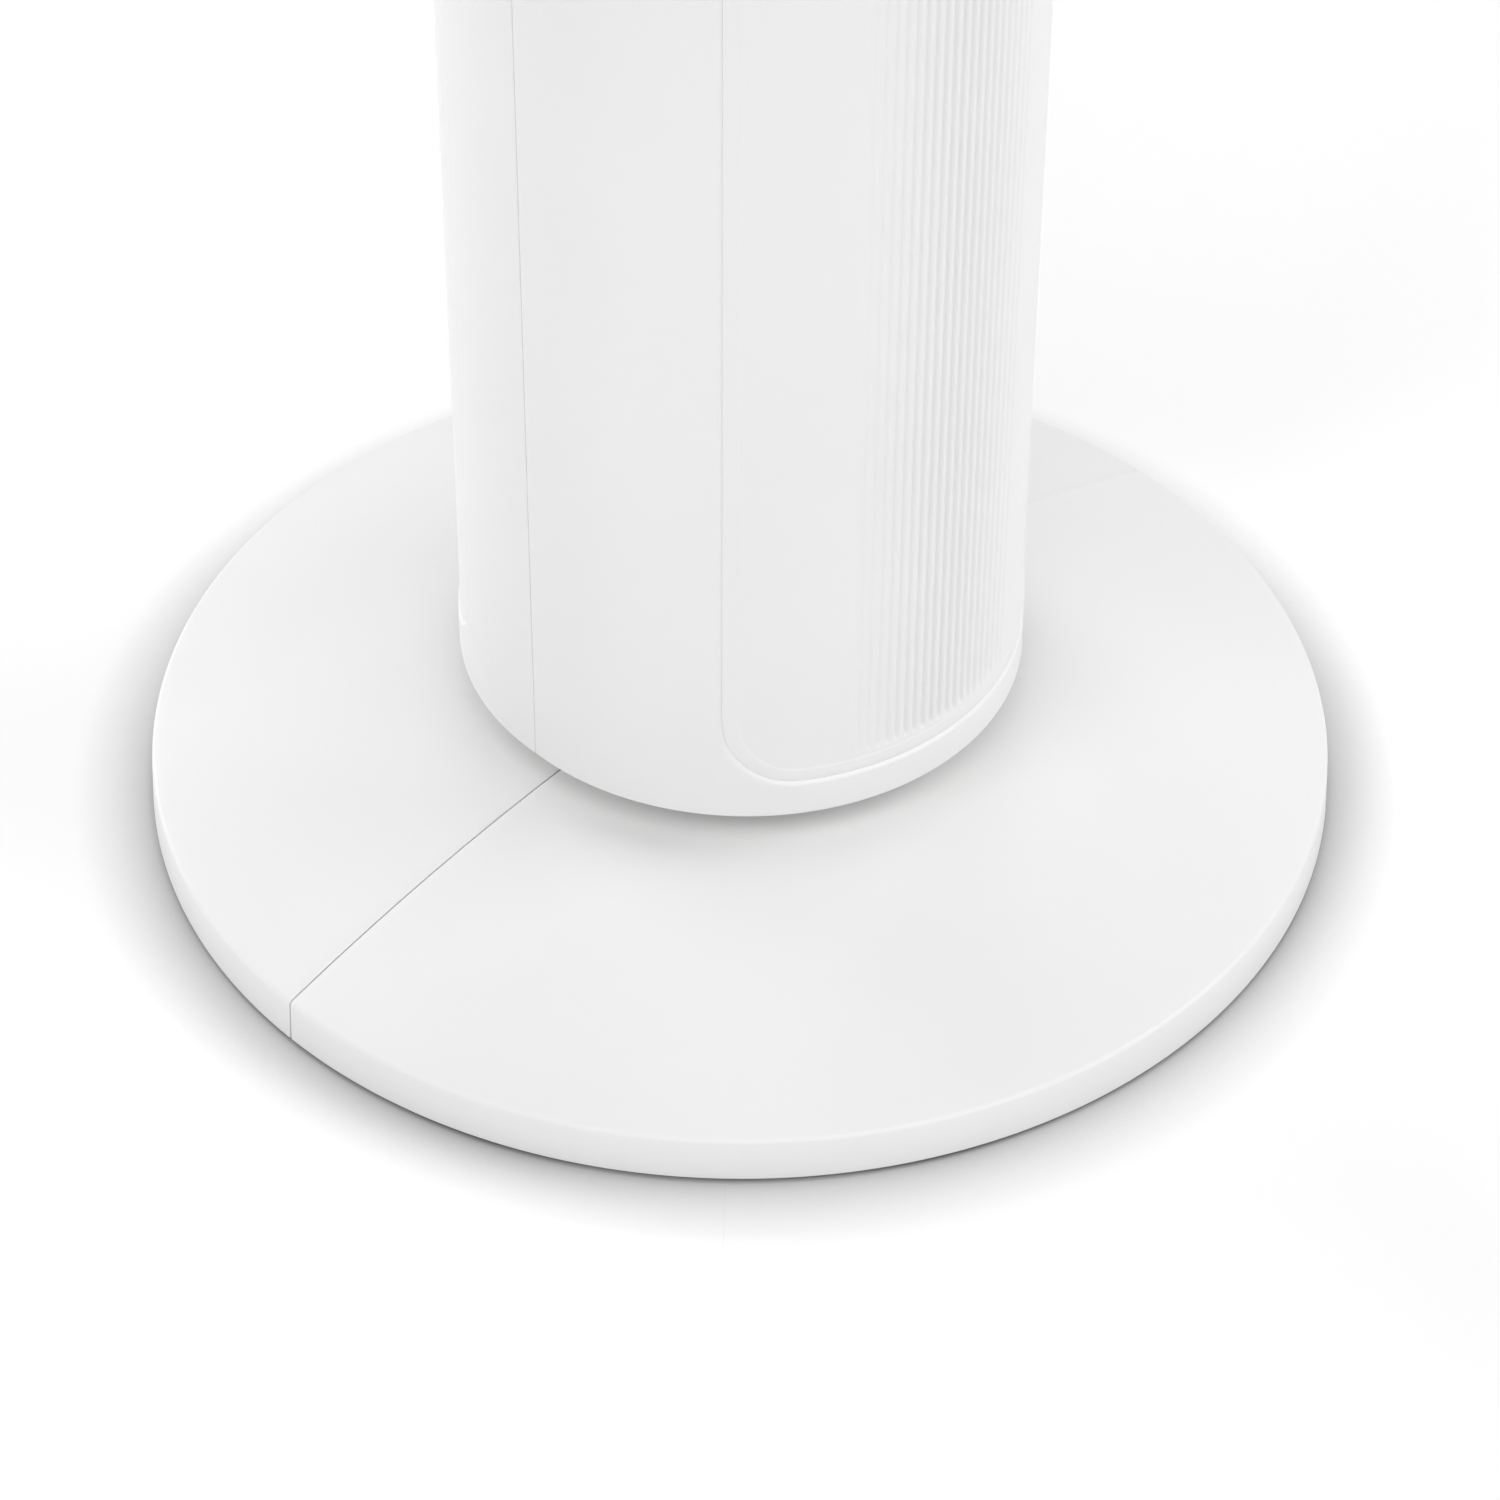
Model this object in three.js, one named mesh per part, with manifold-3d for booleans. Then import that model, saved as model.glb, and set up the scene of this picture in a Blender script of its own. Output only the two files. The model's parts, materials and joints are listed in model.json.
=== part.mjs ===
// Tower fan: a round two-part foot, an oscillating column with a fluted outlet panel and a
// rear inlet grille, and inside it a cross-flow wheel, its motor and the swing drive.
// Millimetres, +Z up, the front faces -Y, origin at the centre of the foot on the floor.
import * as THREE from "three";
import { mergeVertices } from "three/addons/utils/BufferGeometryUtils.js";
import Module from "manifold-3d";

const wasm = await Module();
wasm.setup();

// ---------------------------------------------------------------- driving dimensions
const GAP = 0.3; // gap between touching neighbours

const FOOT_LIFT = 1.5; // shell edge above the floor
const BASE_R = 155; // foot radius
const BASE_RIM = 12.2; // height of the near-vertical rim
const BASE_DOME = 26.1; // rise of the dome above the rim, at the axis
const BASE_WALL = 3;
const LAND_R = 50; // flat land under the column
const LAND_Z = 37;
const LAND_HOLE = 36;

const COL_R = 71.5; // radius of the front and rear arcs of the column
const COL_OFF = 2; // the two arc centres lie this far in front of and behind the axis
const COL_WALL = 2.5;
const COL_Z0 = 45.5; // lower edge of the column
const COL_Z1 = 1045; // upper edge of the shells
const COVER_Z0 = 980; // the rear shell ends here and the rear cover with the grip begins
const CAP_TOP = 1062;

const WIN_Z0 = 56; // both panel windows
const WIN_Z1 = 965;
const WIN_CORNER = 20; // corner radius of the windows, along the surface
const FRONT_HALF = 48.6; // half angle of the outlet window
const REAR_HALF = 66; // half angle of the inlet window
const PANEL_DROP = 0.6; // the panels sit this much below the shell surface
const BORDER = 3.5; // plain border inside the panel edge

const FLUTES = 20; // flutes on the outlet panel
const FLUTE_PITCH = 2.19; // degrees
const FLUTE_DEEP = 1.5; // depth at the middle, fading to the sides

const INLET_SLOTS = 18; // slots across the inlet panel
const INLET_PITCH = 6.3; // degrees

const SLOT_Z = [
  [335, 627],
  [639, 929],
];

const WHEEL = [4, 6]; // axis of the cross-flow wheel
const WHEEL_R = 32;
const WHEEL_Z0 = 331;
const WHEEL_Z1 = 935;
const BLADES = 16;

const GEAR_MODULE = 2;
const RING_TEETH = 40;
const PINION_TEETH = 12;
const GEAR_CENTRES = 52.2;
const GEAR_Z0 = 50;
const GEAR_Z1 = 57;

const BUTTON_R = 5.5;
const BUTTON_XS = [-30, -15, 0, 15, 30];
const BUTTON_Y = 14;

// ---------------------------------------------------------------- helpers
const rad = (d) => (d * Math.PI) / 180;

function solid(geometry) {
  const g = geometry.clone();
  g.deleteAttribute("normal");
  g.deleteAttribute("uv");
  const m = mergeVertices(g, 1e-4);
  const verts = new Float32Array(m.attributes.position.array);
  const tris = new Uint32Array(m.index.array);
  const made = new wasm.Manifold(
    new wasm.Mesh({ numProp: 3, vertProperties: verts, triVerts: tris }),
  );
  if (made.volume() >= 0) return made;
  for (let i = 0; i < tris.length; i += 3)
    [tris[i + 1], tris[i + 2]] = [tris[i + 2], tris[i + 1]];
  return new wasm.Manifold(
    new wasm.Mesh({ numProp: 3, vertProperties: verts, triVerts: tris }),
  );
}

function geometryOf(manifold) {
  const m = manifold.getMesh();
  const g = new THREE.BufferGeometry();
  const p = new Float32Array((m.vertProperties.length / m.numProp) * 3);
  for (let i = 0; i < p.length / 3; i++)
    for (let k = 0; k < 3; k++)
      p[3 * i + k] = m.vertProperties[i * m.numProp + k];
  g.setAttribute("position", new THREE.BufferAttribute(p, 3));
  g.setIndex(new THREE.BufferAttribute(new Uint32Array(m.triVerts), 1));
  g.computeVertexNormals();
  return g;
}

// A box between two corners.
function box(x0, y0, z0, x1, y1, z1) {
  const g = new THREE.BoxGeometry(x1 - x0, y1 - y0, z1 - z0);
  g.translate((x0 + x1) / 2, (y0 + y1) / 2, (z0 + z1) / 2);
  return solid(g);
}

// A turned solid about a vertical axis at (cx, cy): profile of [radius, z], closed on itself.
function turned(profile, segments, cx = 0, cy = 0) {
  const closed = profile[0][0] > 1e-6 || profile[profile.length - 1][0] > 1e-6;
  const pts = profile.map(([r, z]) => new THREE.Vector2(r, z));
  if (closed) pts.push(pts[0].clone());
  const g = new THREE.LatheGeometry(pts, segments);
  g.rotateX(Math.PI / 2);
  g.translate(cx, cy, 0);
  return solid(g);
}

const rod = (r, z0, z1, cx, cy, segments = 16) =>
  turned([[0, z0], [r, z0], [r, z1], [0, z1]], segments, cx, cy);

const tube = (ri, ro, z0, z1, cx, cy, segments = 20) =>
  turned([[ri, z0], [ro, z0], [ro, z1], [ri, z1]], segments, cx, cy);

// A flat outline of [x, y] points, extruded upwards, with optional holes.
function plate(outline, z0, z1, holes = []) {
  const s = new THREE.Shape(outline.map(([x, y]) => new THREE.Vector2(x, y)));
  for (const h of holes)
    s.holes.push(new THREE.Path(h.map(([x, y]) => new THREE.Vector2(x, y))));
  const g = new THREE.ExtrudeGeometry(s, { depth: z1 - z0, bevelEnabled: false });
  g.translate(0, 0, z0);
  return solid(g);
}

const ringPath = (r, n, cx = 0, cy = 0) =>
  [...Array(n)].map((_, i) => [
    cx + r * Math.cos((2 * Math.PI * i) / n),
    cy + r * Math.sin((2 * Math.PI * i) / n),
  ]);

// A point on the column's outline at offset radius r. The angle is measured from the
// front (-Y) towards +X; the front arc and the rear arc have their own centres.
function onColumn(angle, r) {
  const a = ((((angle + 180) % 360) + 360) % 360) - 180;
  const c = Math.abs(a) <= 90 + 1e-9 ? -COL_OFF : COL_OFF;
  return [r * Math.sin(rad(a)), c - r * Math.cos(rad(a))];
}
function columnOutline(r, step = 5, radiusAt = () => r) {
  const pts = [];
  for (let a = -90; a <= 90; a += step) pts.push(onColumn(a, radiusAt(a)));
  for (let a = 90; a <= 270; a += step) {
    const rr = radiusAt(a > 180 ? a - 360 : a);
    pts.push([rr * Math.sin(rad(a)), COL_OFF - rr * Math.cos(rad(a))]);
  }
  return pts;
}

// A strip of wall: columns of { i: [x, y], o: [x, y], z0, z1 } joined side by side.
function strip(cols) {
  const v = [];
  for (const c of cols)
    v.push(...c.i, c.z0, ...c.o, c.z0, ...c.o, c.z1, ...c.i, c.z1);
  const idx = [];
  for (let k = 0; k + 1 < cols.length; k++)
    for (let e = 0; e < 4; e++) {
      const a = 4 * k + e,
        b = 4 * k + ((e + 1) % 4),
        c = b + 4,
        d = a + 4;
      idx.push(a, b, c, a, c, d);
    }
  const n = 4 * (cols.length - 1);
  idx.push(0, 2, 1, 0, 3, 2, n, n + 1, n + 2, n, n + 2, n + 3);
  const g = new THREE.BufferGeometry();
  g.setAttribute("position", new THREE.BufferAttribute(new Float32Array(v), 3));
  g.setIndex(idx);
  return solid(g);
}

// A curved slab with rounded corners, centred on the front or the rear arc.
function slab({ mid, half, ri, ro, z0, z1, corner = 0, step = 5 }) {
  const at = (t, r) => {
    const c = mid === 0 ? -COL_OFF : COL_OFF;
    return [r * Math.sin(rad(mid + t)), c - r * Math.cos(rad(mid + t))];
  };
  const ts = new Set();
  const cornerDeg = (corner / COL_R) * (180 / Math.PI);
  const inner = half - cornerDeg;
  if (corner > 0)
    for (const f of [1, 0.93, 0.75, 0.5, 0.25]) {
      ts.add(inner + cornerDeg * f);
      ts.add(-inner - cornerDeg * f);
    }
  const n = Math.max(1, Math.round((2 * inner) / step));
  for (let i = 0; i <= n; i++) ts.add(-inner + (2 * inner * i) / n);
  const cols = [...ts]
    .sort((a, b) => a - b)
    .map((t) => {
      const over = Math.max(0, Math.abs(t) - inner) / (cornerDeg || 1);
      const cut = corner * (1 - Math.sqrt(Math.max(0, 1 - over * over)));
      const c = Math.min(cut, corner - 0.5);
      return { i: at(t, ri), o: at(t, ro), z0: z0 + Math.max(0, c), z1: z1 - Math.max(0, c) };
    });
  return strip(cols);
}

// A ring swept round the column's outline: a closed profile of [offset radius, z].
function swept(profile, step = 5) {
  const rings = profile.map(([r]) => columnOutline(r, step));
  const m = rings[0].length,
    n = profile.length;
  const v = [];
  for (let j = 0; j < m; j++)
    for (let i = 0; i < n; i++) v.push(...rings[i][j], profile[i][1]);
  const idx = [];
  for (let j = 0; j < m; j++)
    for (let i = 0; i < n; i++) {
      const a = j * n + i,
        b = j * n + ((i + 1) % n),
        c = ((j + 1) % m) * n + ((i + 1) % n),
        d = ((j + 1) % m) * n + i;
      idx.push(a, b, c, a, c, d);
    }
  const g = new THREE.BufferGeometry();
  g.setAttribute("position", new THREE.BufferAttribute(new Float32Array(v), 3));
  g.setIndex(idx);
  return solid(g);
}

// A sheet of even thickness along a polyline in plan, extruded upwards.
function sheet(line, thickness, z0, z1) {
  const left = [],
    right = [];
  for (let i = 0; i < line.length; i++) {
    const p = line[Math.max(0, i - 1)],
      q = line[Math.min(line.length - 1, i + 1)];
    const dx = q[0] - p[0],
      dy = q[1] - p[1],
      l = Math.hypot(dx, dy);
    const nx = (-dy / l) * (thickness / 2),
      ny = (dx / l) * (thickness / 2);
    left.push([line[i][0] + nx, line[i][1] + ny]);
    right.push([line[i][0] - nx, line[i][1] - ny]);
  }
  return plate([...left, ...right.reverse()], z0, z1);
}

// An external spur gear outline with backlash taken from the tooth thickness.
function gearOutline(teeth, module, backlash, turn, flankPoints) {
  const rp = (teeth * module) / 2,
    rb = rp * Math.cos(rad(20)),
    ra = rp + module * 0.78,
    rf = rp - module * 1.2;
  const inv = (r) => {
    const c = Math.min(1, rb / r),
      a = Math.acos(c);
    return Math.tan(a) - a;
  };
  const halfPitch = (Math.PI * module) / 2 / rp / 2 - backlash / 2 / rp;
  const halfAt = (r) => halfPitch + inv(rp) - inv(Math.max(r, rb));
  const start = Math.max(rf, rb);
  const radii = rf < rb ? [rf] : [];
  for (let i = 0; i < flankPoints; i++)
    radii.push(start + ((ra - start) * i) / (flankPoints - 1));
  const pts = [];
  for (let t = 0; t < teeth; t++) {
    const mid = turn + (2 * Math.PI * t) / teeth;
    for (const r of radii) pts.push([r * Math.cos(mid - halfAt(r)), r * Math.sin(mid - halfAt(r))]);
    for (const r of [...radii].reverse())
      pts.push([r * Math.cos(mid + halfAt(r)), r * Math.sin(mid + halfAt(r))]);
  }
  return pts;
}

// A pan-head screw: head from zh0 to zh1, shank from zh1 to zs.
const screw = (x, y, zh0, zh1, zs, rh, rs) =>
  turned(
    [[0, zh0], [rh, zh0], [rh, zh1], [rs, zh1], [rs, zs], [0, zs]],
    8, x, y,
  );

// ---------------------------------------------------------------- materials
const finish = (color, roughness, metalness = 0) => () =>
  new THREE.MeshStandardMaterial({ color, roughness, metalness });
const whitePlastic = finish(0xf1f1f0, 0.42);
const whitePanel = finish(0xececeb, 0.45);
const softWhite = finish(0xe4e4e2, 0.5);
const darkRubber = finish(0x2b2b2c, 0.85);
const steel = finish(0xb6b8ba, 0.35, 0.9);
const acetal = finish(0xe8e6dc, 0.4);
const darkPlastic = finish(0x2a2c2e, 0.5);
const board = finish(0x1f5a3a, 0.55);
const lensGrey = finish(0x3a3d40, 0.12);

const fan = new THREE.Group();
const body = {};
for (const name of ["base", "column", "impeller", "pinion", "buttons"]) {
  body[name] = new THREE.Group();
  fan.add(body[name]);
}
function add(where, name, manifold, material) {
  const mesh = new THREE.Mesh(geometryOf(manifold), material());
  mesh.name = name;
  body[where].add(mesh);
}

// ---------------------------------------------------------------- foot
const domeZ = (r) => FOOT_LIFT + BASE_RIM + BASE_DOME * (1 - (r / BASE_R) ** 2);
const RIM_TOP = FOOT_LIFT + BASE_RIM;
const baseTop = [
  [BASE_R, FOOT_LIFT],
  [BASE_R, RIM_TOP - 1.5],
  [BASE_R - 0.5, RIM_TOP - 0.4],
  [BASE_R - 1.4, domeZ(BASE_R - 1.4) - 0.05],
  ...[146, 128, 106, 80, LAND_R].map((r) => [r, Math.max(domeZ(r), LAND_Z)]),
];
const SEG = 40;
const baseShell = turned(
  [
    ...baseTop,
    [LAND_HOLE, LAND_Z],
    [LAND_HOLE, LAND_Z - BASE_WALL],
    ...[LAND_R + 2, 90, 128].map((r) => [r, Math.min(domeZ(r), LAND_Z) - BASE_WALL]),
    [BASE_R - BASE_WALL, domeZ(BASE_R - BASE_WALL) - BASE_WALL],
    [BASE_R - BASE_WALL, FOOT_LIFT],
  ],
  SEG,
);
const baseFilled = turned(
  [[0, FOOT_LIFT], [BASE_R - 1, FOOT_LIFT], ...baseTop.slice(4).map(([r, z]) => [r, z - 1]), [0, LAND_Z - 1]],
  SEG,
);
const FEET = [22, 66, 114, 158, 202, 246, 294, 338].map((d) => [138 * Math.cos(rad(d)), 138 * Math.sin(rad(d))]);
const TIE = [40, 140, 220, 320].map((d) => [92 * Math.cos(rad(d)), 92 * Math.sin(rad(d))]);
const FLANGE = [45, 135, 225, 315].map((d) => [43 * Math.cos(rad(d)), 43 * Math.sin(rad(d))]);
let baseAll = baseShell;
for (const [x, y] of FEET)
  baseAll = baseAll.add(rod(10.5, 3.6, 40, x, y, 10).intersect(baseFilled));
for (const [x, y] of TIE) baseAll = baseAll.add(rod(5, 6.8, 40, x, y, 8).intersect(baseFilled));
for (const [x, y] of TIE) baseAll = baseAll.subtract(rod(2.3, 0, 18, x, y, 8));
for (const [x, y] of FLANGE) baseAll = baseAll.subtract(rod(2.3, 30, 36.2, x, y, 8));
// Cord outlet in the rear rim.
const GLAND_Z = 7.6;
function along(profile, segments) {
  const pts = profile.map(([r, y]) => new THREE.Vector2(r, y));
  if (profile[0][0] > 1e-6) pts.push(pts[0].clone());
  const g = new THREE.LatheGeometry(pts, segments);
  g.translate(0, 0, GLAND_Z);
  return solid(g);
}
baseAll = baseAll.subtract(along([[0, 140], [4.9, 140], [4.9, 165], [0, 165]], 16));
const far = 400;
add("base", "base_front_half", baseAll.intersect(box(-far, -far, -10, far, -GAP / 2, far)), whitePlastic);
add("base", "base_rear_half", baseAll.intersect(box(-far, GAP / 2, -10, far, far, far)), whitePlastic);
FEET.forEach(([x, y], i) =>
  add("base", `foot_pad_${i + 1}`, turned([[0, 0], [8.4, 0], [9, 0.8], [9, 3.3], [0, 3.3]], 16, x, y), darkRubber),
);
add(
  "base", "cord_gland",
  along([[3.2, 147], [4.6, 147], [4.6, 154.4], [3.2, 154.4]], 16),
  darkRubber,
);
// Steel plate that ties the two halves together from below.
let tie = tube(62, 120, 3.5, 6.5, 0, 0, 36);
for (const [x, y] of TIE) tie = tie.subtract(rod(2.3, 0, 18, x, y, 8));
add("base", "tie_plate", tie, steel);
TIE.forEach(([x, y], i) =>
  add("base", `tie_screw_${i + 1}`, screw(x, y, 1.7, 3.2, 16, 4, 2), steel),
);
// Turntable: the socket is fixed under the land and stands up through the column floor.
let socket = turned(
  [[20, 30.7], [50, 30.7], [50, 33.7], [34, 33.7], [34, 58], [20, 58]],
  32,
);
for (const [x, y] of FLANGE) socket = socket.subtract(rod(2.3, 28, 36, x, y, 8));
add("base", "turntable_socket", socket, softWhite);
FLANGE.forEach(([x, y], i) =>
  add("base", `socket_screw_${i + 1}`, screw(x, y, 28.6, 30.4, 35.6, 4, 2), steel),
);
add("base", "thrust_washer", tube(36.5, 48, LAND_Z + GAP, LAND_Z + 2.3, 0, 0, 32), acetal);
add(
  "base", "ring_gear",
  plate(gearOutline(RING_TEETH, GEAR_MODULE, 0.3, 0, 2), GEAR_Z0, GEAR_Z1, [ringPath(34.5, 32)]),
  acetal,
);

// ---------------------------------------------------------------- column
add("column", "swivel_hub", tube(35, 48, LAND_Z + 2.6, COL_Z0 - GAP, 0, 0, 32), softWhite);
const LUG_ANGLES = [62, 104, -62, -104];
const LUGS = LUG_ANGLES.map((a) => onColumn(a, 64.8));
let floor = plate(columnOutline(COL_R - COL_WALL - GAP, 10), COL_Z0, COL_Z0 + 3, [ringPath(35, 32)]);
for (const sx of [-19, 19]) floor = floor.add(rod(3, COL_Z0 + 1, 59.7, sx, 52, 8));
for (const [x, y] of LUGS) floor = floor.subtract(rod(2, 40, 60, x, y, 8));
add("column", "column_floor", floor, softWhite);
LUGS.forEach(([x, y], i) =>
  add("column", `floor_screw_${i + 1}`, screw(x, y, 43.6, 45.2, 58, 3.4, 1.7), steel),
);

const lug = (x, y) => rod(3.9, COL_Z0 + 3.3, 66, x, y, 8);
const wallSpan = (sign, z0 = COL_Z0, z1 = COL_Z1) => {
  const cols = [];
  const ri = COL_R - COL_WALL,
    ro = COL_R,
    seam = (sign * GAP) / 2;
  const push = (i, o) => cols.push({ i, o, z0, z1 });
  push([-ri, seam], [-ro, seam]);
  for (let t = -90; t <= 90; t += 7.5) {
    const at = (r) => [r * Math.sin(rad(t)), sign * (COL_OFF + r * Math.cos(rad(t)))];
    push(at(ri), at(ro));
  }
  push([ri, seam], [ro, seam]);
  return strip(cols);
};
const windowCut = (mid, half) =>
  slab({ mid, half, ri: 60, ro: 80, z0: WIN_Z0, z1: WIN_Z1, corner: WIN_CORNER });
const frontShell = wallSpan(-1).subtract(windowCut(0, FRONT_HALF));
const rearShell = wallSpan(1, COL_Z0, COVER_Z0).subtract(windowCut(180, REAR_HALF));
const withLugs = (shell, ids) => {
  let s = shell;
  for (const i of ids) s = s.add(lug(...LUGS[i]));
  // webs from the wall to the lugs
  for (const i of ids) {
    s = s.add(sheet([LUGS[i], onColumn(LUG_ANGLES[i], COL_R - 1.2)], 3, COL_Z0 + 3.3, 66));
  }
  for (const i of ids) s = s.subtract(rod(2, 40, 60, ...LUGS[i], 8));
  return s;
};
add("column", "column_front_shell", withLugs(frontShell, [0, 2]), whitePlastic);
const GRIP = { x: 38, z0: 987, z1: 1013 };
add("column", "column_rear_shell", withLugs(rearShell, [1, 3]), whitePlastic);
// The rear cover closes the column above the inlet panel and holds the grip.
add(
  "column", "rear_cover",
  wallSpan(1, COVER_Z0 + GAP, COL_Z1).subtract(box(-GRIP.x, 40, GRIP.z0, GRIP.x, 90, GRIP.z1)),
  whitePlastic,
);
const inside = plate(columnOutline(COL_R - COL_WALL - GAP), GRIP.z0 - 2.5, GRIP.z1 + 2.5);
add(
  "column", "grip_cup",
  box(-GRIP.x - 2.5, 41, GRIP.z0 - 2.5, GRIP.x + 2.5, 90, GRIP.z1 + 2.5)
    .subtract(box(-GRIP.x, 43, GRIP.z0, GRIP.x, 91, GRIP.z1))
    .intersect(inside),
  softWhite,
);

// Outlet and inlet panels: a plate in the window and a flange behind the shell.
const degOf = (mm) => (mm / COL_R) * (180 / Math.PI);
const panelBody = (mid, half) =>
  slab({
    mid, half: half - degOf(0.4), ri: 66.2, ro: COL_R - PANEL_DROP,
    z0: WIN_Z0 + 0.4, z1: WIN_Z1 - 0.4, corner: WIN_CORNER - 0.4,
  }).add(
    slab({
      mid, half: half + degOf(4), ri: 66.2, ro: 68.6,
      z0: WIN_Z0 - 4, z1: WIN_Z1 + 4, corner: WIN_CORNER + 4,
    }),
  );
const atAngle = (mid, t, r) => {
  const c = mid === 0 ? -COL_OFF : COL_OFF;
  return [r * Math.sin(rad(mid + t)), c - r * Math.cos(rad(mid + t))];
};
const slotCut = (mid, t, halfWidth, z0, z1) =>
  plate(
    [atAngle(mid, t - halfWidth, 60), atAngle(mid, t - halfWidth, 75), atAngle(mid, t + halfWidth, 75), atAngle(mid, t + halfWidth, 60)],
    z0, z1,
  );
let outlet = panelBody(0, FRONT_HALF);
const PANEL_R = COL_R - PANEL_DROP;
for (let k = 0; k < FLUTES; k++) {
  const t = (k - (FLUTES - 1) / 2) * FLUTE_PITCH;
  const deep = 0.15 + FLUTE_DEEP * Math.cos((rad(90) * t) / 23.5) ** 1.3;
  outlet = outlet.subtract(
    plate(
      [atAngle(0, t - 0.8, PANEL_R + 1), atAngle(0, t - 0.8, PANEL_R), atAngle(0, t, PANEL_R - deep), atAngle(0, t + 0.8, PANEL_R), atAngle(0, t + 0.8, PANEL_R + 1)],
      WIN_Z0 + BORDER, WIN_Z1 - BORDER,
    ),
  );
  for (const [z0, z1] of SLOT_Z) outlet = outlet.subtract(slotCut(0, t, 0.62, z0, z1));
}
add("column", "outlet_panel", outlet, whitePanel);
let inlet = panelBody(180, REAR_HALF);
for (let k = 0; k < INLET_SLOTS; k++)
  for (const [z0, z1] of SLOT_Z)
    inlet = inlet.subtract(slotCut(180, (k - (INLET_SLOTS - 1) / 2) * INLET_PITCH, 1.7, z0, z1));
add("column", "inlet_grille", inlet, whitePanel);

// Decks that carry the wheel, with ears that reach the shells beside the panels.
const deckRadius = (a) => (Math.abs(a) > 65 && Math.abs(a) < 106 ? 68.6 : 65.6);
const deck = (z0, z1, hole) =>
  plate(columnOutline(0, 10, deckRadius), z0, z1, [ringPath(hole, 16, ...WHEEL)]);
add("column", "motor_deck", deck(316, 319, 13), softWhite);
add("column", "bearing_deck", deck(946, 949, 11), softWhite);

// Scroll wall and tongue of the blower.
const scrollLine = [[-7, 46]];
for (let i = 0; i <= 9; i++) {
  const a = 100 + 15 * i,
    r = 36 + (15 * i) / 135 * 15;
  scrollLine.push([WHEEL[0] + r * Math.cos(rad(a)), WHEEL[1] + r * Math.sin(rad(a))]);
}
scrollLine.push([-27.5, -60.5]);
add("column", "scroll_duct", sheet(scrollLine, 2, 319.3, 945.7), softWhite);
add(
  "column", "duct_tongue",
  sheet([[27.5, -60.5], [29, -32], [32.5, -17.5], [36, -15], [41, -15.5], [58, -24]], 2, 319.3, 945.7),
  softWhite,
);

// Main motor, hung under its deck.
add(
  "column", "main_motor",
  turned(
    [
      [4.5, 282], [4.5, 308], [20, 308], [20, 304], [38, 304], [42, 300],
      [42, 270], [38, 264], [16, 262], [0, 262], [0, 282],
    ],
    20, ...WHEEL,
  )
    .add(rod(3.5, 300, 315.7, WHEEL[0] + 34, WHEEL[1], 12))
    .add(rod(3.5, 300, 315.7, WHEEL[0] - 34, WHEEL[1], 12))
    .add(rod(3.5, 300, 315.7, WHEEL[0], WHEEL[1] + 34, 12)),
  steel,
);
add("column", "upper_bearing", tube(4.08, 10.6, 946, 954, ...WHEEL, 24), acetal);

// Swing drive motor, standing on the floor's two posts.
add(
  "column", "swing_motor",
  rod(15, 60, 79, 0, 52.2, 20)
    .add(box(-22, 48.7, 60, 22, 55.7, 61.5))
    .subtract(rod(2.5, 59, 74, 0, 52.2, 12)),
  steel,
);
add("column", "power_board", box(-32, -20, 110, 32, -18.4, 215).add(box(-20, -18.4, 130, 4, -2, 158)).add(rod(8, 170, 196, 14, -12, 16)), board);
add(
  "column", "control_board",
  BUTTON_XS.reduce(
    (s, x) => s.add(rod(3, 1041, 1050, x, BUTTON_Y, 6)),
    rod(44, 1040, 1041.6, 0, 0, 24),
  ),
  board,
);

// ---------------------------------------------------------------- top
add(
  "column", "top_cap",
  swept([
    [64.5, 1036], [68.6, 1036], [68.6, COL_Z1 + GAP], [COL_R, COL_Z1 + GAP], [COL_R, 1054],
    [70.4, 1058], [67.6, 1060.9], [63, CAP_TOP], [53.5, CAP_TOP], [52, 1060.5], [52, 1052.6], [64.5, 1052.6],
  ], 15),
  whitePlastic,
);
const rounded = (cx, cy, w, h, r) => {
  const pts = [];
  for (const [sx, sy, a0] of [[1, 1, 0], [-1, 1, 90], [-1, -1, 180], [1, -1, 270]])
    for (const d of [0, 45, 90])
      pts.push([
        cx + sx * (w / 2 - r) + r * Math.cos(rad(a0 + d)),
        cy + sy * (h / 2 - r) + r * Math.sin(rad(a0 + d)),
      ]);
  return pts;
};
add(
  "column", "control_deck",
  plate(columnOutline(51.6, 10), 1054, 1058, [
    ...BUTTON_XS.map((x) => ringPath(BUTTON_R + 0.45, 16, x, BUTTON_Y)),
    rounded(0, -18, 44, 16, 4),
  ]),
  whitePanel,
);
add("column", "display_lens", plate(rounded(0, -18, 43.4, 15.4, 3.7), 1054.2, 1058.2), lensGrey);
["power", "speed", "swing", "timer", "mode"].forEach((name, i) =>
  add(
    "buttons", `${name}_button`,
    turned(
      [[0, 1051.2], [6.8, 1051.2], [6.8, 1053], [BUTTON_R, 1053], [BUTTON_R, 1059], [BUTTON_R - 0.7, 1059.7], [0, 1059.9]],
      16, BUTTON_XS[i], BUTTON_Y,
    ),
    softWhite,
  ),
);

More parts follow.
